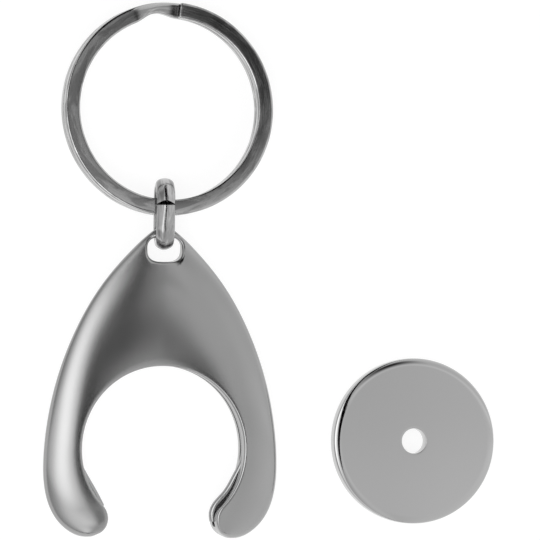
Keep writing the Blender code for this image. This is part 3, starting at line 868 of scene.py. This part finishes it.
def ring_sections():
    """Two turns of flat wire, clockwise from the cut end in the front layer to the one behind."""
    ring = settings("ring")
    total = 4 * pi - RING_JOGGLE_ANGLE - 2 * RING_END_GAP
    joggle_start = 2 * pi - RING_JOGGLE_ANGLE
    joggle_end = 2 * pi + RING_JOGGLE_ANGLE / 2
    turns = [*np.linspace(RING_END_GAP, joggle_start, RING_TURN_STEPS, endpoint=False),
             *np.linspace(joggle_start, joggle_end, RING_JOGGLE_STEPS, endpoint=False),
             *np.linspace(joggle_end, total, RING_TURN_STEPS)]
    layer = (ring.wire_thickness + ring.turn_gap) / 2
    sections = []
    for turn in turns:
        crossing = (turn - joggle_start) / RING_JOGGLE_ANGLE
        height = layer * (1 - 2 * blend(crossing, *RING_CROSSING_SHARES))
        pinch = blend(crossing, *RING_NARROW_SHARES) - blend(crossing, *RING_WIDEN_SHARES)
        profile = wire_profile(ring.wire_width - ring.narrowing * pinch)
        profile += ring.diameter / 2, height
        sections.append(turned(profile, pi / 2 - RING_CUT_ANGLE - turn))
    return round_ends(sections, ring.end_edge)


def chip_sections():
    """Profile of the chip with rolled-over faces and rounded edges, turned about its own axis."""
    chip = settings("chip")
    radius, hole, half, edge = chip.diameter / 2, chip.hole / 2, chip.thickness / 2, chip.edge
    burr = chip.hole_edge
    upper = arc((hole + burr, half - burr), (-burr, burr), CORNER_STEPS)
    upper.append((hole + edge, half))
    # Punching rolls each face down towards the rim, where the edge's tighter rounding takes over
    low = half - chip.roll
    first = radius - edge - (chip.roll - edge) * sin(chip.roll_turn)
    handover = pi / 2 - chip.roll_turn
    upper += arc((first, low), (chip.roll, chip.roll), CHIP_ROLL_STEPS, pi / 2, handover)[:-1]
    middle = low + (chip.roll - edge) * cos(chip.roll_turn)
    upper += arc((radius - edge, middle), (edge, edge), CHIP_EDGE_STEPS, handover, 0)
    profile = np.array(upper + [(out, -high) for out, high in reversed(upper)])
    turns = 2 * pi * np.arange(CHIP_SEGMENTS) / CHIP_SEGMENTS
    return [turned(profile, turn) for turn in turns]


class KEYRING_OT_add_holder(Operator):
    """Add the horseshoe holder with its grooved opening and its eyelet"""
    bl_idname = "keyring.add_holder"
    bl_label = "Add Holder"

    def execute(self, context):
        body = loft("holder_body_round", holder_sections())
        body = cut(body, eyelet_cutter(body))
        add_piece("holder_casting", body, holder_place(), "holder_body", "holder",
                  satin_nickel_plated_zinc(), HOLDER_SHARP_ANGLE)
        return {"FINISHED"}


class KEYRING_OT_add_spring(Operator):
    """Add the spring wire in the holder's groove"""
    bl_idname = "keyring.add_spring"
    bl_label = "Add Spring Wire"

    def execute(self, context):
        add_piece("spring_wire", loft("spring_wire", spring_sections()), holder_place(),
                  "retaining_spring", "holder", drawn_spring_steel(), fitted=False)
        return {"FINISHED"}


class KEYRING_OT_add_link(Operator):
    """Add the link between the holder and the ring"""
    bl_idname = "keyring.add_link"
    bl_label = "Add Link"

    def execute(self, context):
        twist = Matrix.Rotation(settings("link").twist, 4, "Y")
        add_piece("half_round_link", loft("half_round_link", link_sections()),
                  Matrix.Translation(AXES["link_swing"]) @ twist, "connecting_link", "link",
                  bright_nickel_plated_steel())
        return {"FINISHED"}


class KEYRING_OT_add_ring(Operator):
    """Add the split ring of two turns"""
    bl_idname = "keyring.add_ring"
    bl_label = "Add Split Ring"

    def execute(self, context):
        add_piece("key_ring", loft("key_ring", ring_sections()), ring_place(), "split_ring", "ring",
                  bright_nickel_plated_steel())
        return {"FINISHED"}


class KEYRING_OT_add_chip(Operator):
    """Add the loose chip beside the holder"""
    bl_idname = "keyring.add_chip"
    bl_label = "Add Chip"

    def execute(self, context):
        low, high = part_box("trolley_chip")
        add_piece("coin_size_chip", loft("coin_size_chip", chip_sections(), closed=True),
                  Matrix.Translation((low + high) / 2), "trolley_chip", "chip",
                  polished_nickel_plated_chip())
        return {"FINISHED"}


def add_softbox():
    """Oval lamp that faces a point, and shows in reflections as evenly bright."""
    data = bpy.data.lights.new("left_softbox", "AREA")
    data.shape = "ELLIPSE"
    data.size, data.size_y = SOFTBOX_SIZE
    data.energy = SOFTBOX_LEVEL * pi * (pi / 4 * data.size * data.size_y)
    lamp = bpy.data.objects.new("left_softbox", data)
    bpy.context.scene.collection.objects.link(lamp)
    lamp.location = SOFTBOX_PLACE
    back = (Vector(SOFTBOX_PLACE) - Vector(SOFTBOX_AIM)).normalized()
    across = Vector((0, 1, 0)).cross(back).normalized()
    lamp.rotation_euler = Matrix((across, back.cross(across), back)).transposed().to_euler()
    lamp.visible_camera = False


def add_sheet(name, corners, height, material):
    """Flat sheet of the stage, with its corners and height in millimetres."""
    mesh = bpy.data.meshes.new(name)
    mesh.from_pydata([(x * MM, y * MM, 0) for x, y in corners], [], [tuple(range(len(corners)))])
    mesh.materials.append(material)
    sheet = bpy.data.objects.new(name, mesh)
    sheet.location.z = height * MM
    bpy.context.scene.collection.objects.link(sheet)
    return sheet


def add_card(name, corners, levels, shares, patch_shares=None):
    """White card of the tent, lit through, which shows only in reflections and as soft light."""
    card = add_sheet(name, corners, TENT_HEIGHT, translucent_card(levels, shares, patch_shares))
    card.visible_camera = False
    card.visible_shadow = False


def translucent_card(levels, shares, patch_shares):
    """White cloth lit from behind, at a level for each place on it."""
    material, tree, shader = new_material("translucent white card")
    tree.nodes.remove(shader)
    metres = add_node(tree, "TexCoord").outputs["Object"]
    scaled = add_node(tree, "VectorMath", {0: metres, "Scale": 1 / MM}, operation="SCALE")
    place = scaled.outputs[0]
    axis = add_node(tree, "SeparateXYZ", {"Vector": place}).outputs
    level, parts = graded(tree, axis["X"], levels), [graded(tree, axis["Y"], shares)]
    if patch_shares:
        away = add_node(tree, "VectorMath", {0: place, 1: (*DARK_PATCH, 0)}, operation="DISTANCE")
        parts.append(graded(tree, away.outputs["Value"], patch_shares))
    for part in parts:
        level = add_node(tree, "Math", {0: level, 1: part}, operation="MULTIPLY").outputs[0]
    glow = add_node(tree, "Emission", {"Strength": level})
    tree.links.new(glow.outputs[0], tree.nodes["Material Output"].inputs["Surface"])
    return material


class KEYRING_OT_add_stage(Operator):
    """Add the pale floor, the lamp, the white tent, the dark studio and the camera"""
    bl_idname = "keyring.add_stage"
    bl_label = "Add Stage"

    def execute(self, context):
        scene = context.scene
        stage = settings("stage")
        add_sheet("floor", FLOOR_CORNERS, -FLOOR_DROP, matt_white_floor(stage.floor))
        add_softbox()
        add_card("left_card", LEFT_CARD_CORNERS, LEFT_CARD_LEVELS, LEFT_CARD_SHARES)
        add_card("right_card", RIGHT_CARD_CORNERS, RIGHT_CARD_LEVELS, RIGHT_CARD_SHARES,
                 DARK_PATCH_SHARES)
        scene.world = studio_world()
        scene.view_settings.view_transform = "Standard"
        add_camera(scene, stage)
        return {"FINISHED"}


def matt_white_floor(colour):
    """Matt white paper, lifted to white where it is seen, that keeps the object's shadow."""
    material, tree, shader = new_material("matt white paper")
    shader.inputs["Roughness"].default_value = 1.0
    shader.inputs["Specular IOR Level"].default_value = 0.0
    shader.inputs["Emission Color"].default_value = (1.0, 1.0, 1.0, 1.0)
    # 1 where the camera, a reflection or glass sees it, and 0 for light that falls on things
    path = add_node(tree, "LightPath").outputs
    seen = path["Is Camera Ray"]
    for ray in ("Is Glossy Ray", "Is Transmission Ray"):
        seen = add_node(tree, "Math", {0: seen, 1: path[ray]}, operation="MAXIMUM").outputs[0]
    dark, pale = (*linear(FLOOR_SEEN_SHADE), 1.0), (*colour, 1.0)
    shade = add_node(tree, "Mix", {0: seen, 6: pale, 7: dark}, data_type="RGBA")
    tree.links.new(shade.outputs[2], shader.inputs["Base Color"])
    lift = add_node(tree, "Math", {0: seen, 1: FLOOR_LIFT}, operation="MULTIPLY")
    tree.links.new(lift.outputs[0], shader.inputs["Emission Strength"])
    return material


def graded(tree, place, levels):
    """Level that runs smoothly through (place, level) pairs."""
    low, high = levels[0][0], levels[-1][0]
    part = add_node(tree, "MapRange", {"Value": place, "From Min": low, "From Max": high})
    curve = add_node(tree, "FloatCurve", {"Value": part.outputs["Result"]})
    most = max(level for _, level in levels)
    points = curve.mapping.curves[0].points
    while len(points) < len(levels):
        points.new(0.5, 0.5)
    for point, (at, level) in zip(points, levels):
        point.location = (at - low) / (high - low), level / most
    curve.mapping.update()
    return add_node(tree, "Math", {0: curve.outputs[0], 1: most}, operation="MULTIPLY").outputs[0]


def studio_world():
    """Dark studio with pale walls low on both sides, that the camera sees as white."""
    world = bpy.data.worlds.new("studio")
    world.use_nodes = True
    tree = world.node_tree
    background = tree.nodes["Background"]
    place = add_node(tree, "TexCoord").outputs["Generated"]
    axis = add_node(tree, "SeparateXYZ", {"Vector": place}).outputs
    leftward = add_node(tree, "Math", {0: axis["X"], 1: -1.0}, operation="MULTIPLY")
    left = add_node(tree, "Math", {0: leftward.outputs[0], 1: axis["Z"]}, operation="ARCTAN2")
    left = add_node(tree, "Math", {0: left.outputs[0]}, operation="DEGREES").outputs[0]
    camera = add_node(tree, "LightPath").outputs["Is Camera Ray"]
    level = add_node(tree, "Math", {0: graded(tree, left, STUDIO_LEVELS), 1: camera},
                     operation="MAXIMUM")
    tree.links.new(level.outputs[0], background.inputs["Strength"])
    background.inputs["Color"].default_value = (1.0, 1.0, 1.0, 1.0)
    return world


def add_camera(scene, stage):
    """Camera above the keyring, a little to its left, at the photograph's framing."""
    turn = Matrix.Rotation(-stage.view_angle, 4, "Y") @ Matrix.Rotation(stage.roll, 4, "Z")
    right, down = ((pixel - PICTURE_SIZE / 2) * PICTURE_PIXEL for pixel in OPENING_PIXEL)
    away = Matrix.Translation((-right, down, stage.distance))
    data = bpy.data.cameras.new("camera")
    data.sensor_width = SENSOR
    data.lens = SENSOR * stage.distance / (PICTURE_SIZE * PICTURE_PIXEL)
    camera = bpy.data.objects.new("camera", data)
    scene.collection.objects.link(camera)
    camera.matrix_world = Matrix.Translation(holder_place().translation) @ turn @ away
    scene.camera = camera


class KEYRING_PT_panel(Panel):
    """Sidebar panel that lists the pieces and their settings"""
    bl_idname = "KEYRING_PT_panel"
    bl_label = "Coin Holder Keyring"
    bl_space_type = "VIEW_3D"
    bl_region_type = "UI"
    bl_category = "Keyring"

    def draw(self, context):
        for kind, _, operator in PIECES:
            box = self.layout.box()
            group = settings(kind)
            for name in group.__annotations__:
                box.prop(group, name)
            box.operator(operator.bl_idname)


PIECES = (("holder", HolderSettings, KEYRING_OT_add_holder),
          ("spring", SpringSettings, KEYRING_OT_add_spring),
          ("link", LinkSettings, KEYRING_OT_add_link),
          ("ring", RingSettings, KEYRING_OT_add_ring),
          ("chip", ChipSettings, KEYRING_OT_add_chip),
          ("stage", StageSettings, KEYRING_OT_add_stage))


def register():
    for kind, group, operator in PIECES:
        bpy.utils.register_class(group)
        bpy.utils.register_class(operator)
        setattr(bpy.types.Scene, "keyring_" + kind, PointerProperty(type=group))
    bpy.utils.register_class(KEYRING_PT_panel)


def unregister():
    bpy.utils.unregister_class(KEYRING_PT_panel)
    for kind, group, operator in reversed(PIECES):
        delattr(bpy.types.Scene, "keyring_" + kind)
        bpy.utils.unregister_class(operator)
        bpy.utils.unregister_class(group)


def main():
    register()
    for _, _, operator in PIECES:
        group, name = operator.bl_idname.split(".")
        getattr(getattr(bpy.ops, group), name)()


if __name__ == "__main__":
    main()
